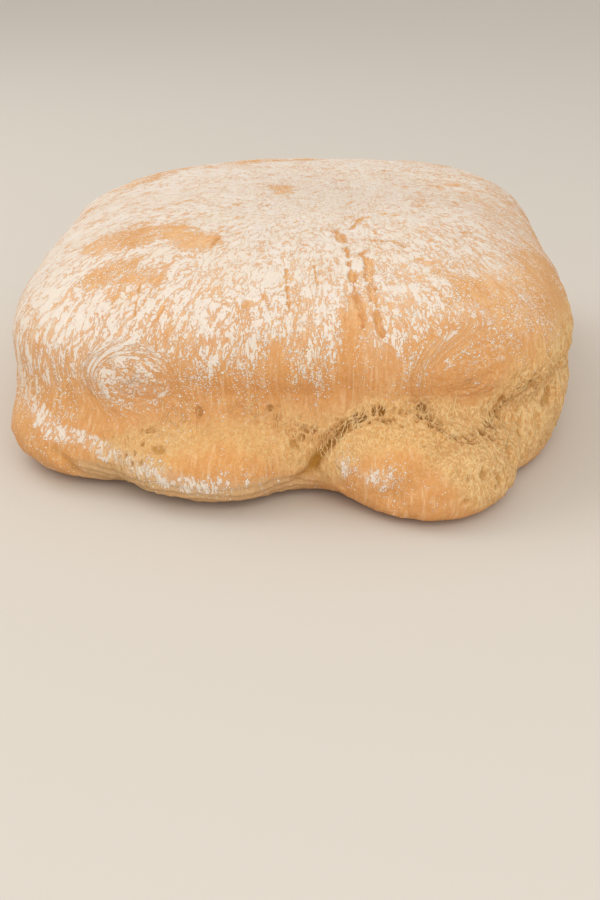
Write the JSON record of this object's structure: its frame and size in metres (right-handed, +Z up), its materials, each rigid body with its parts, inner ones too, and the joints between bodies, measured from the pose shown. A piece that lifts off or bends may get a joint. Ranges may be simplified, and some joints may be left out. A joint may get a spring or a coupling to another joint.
{
  "type": "ciabatta loaf",
  "caption": "Rustic flat loaf of baked bread with a domed floured crust, a torn side and a flat underside that it rests on.",
  "frame": {"origin": "middle of the box of the loaf, on the surface that it rests on", "axes": "+Z up; -Y towards the near, torn short end that the picture shows; +X to the right seen from there; the loaf is longest along Y"},
  "size_m": [0.193, 0.246, 0.078],
  "materials": {
    "crust": "dry matte baked crust, golden to tan, under a crackled coat of pale flour, with pale torn crumb at the near end"
  },
  "bodies": {
    "root": {"ciabatta_loaf": "crust"}
  },
  "joints": []
}
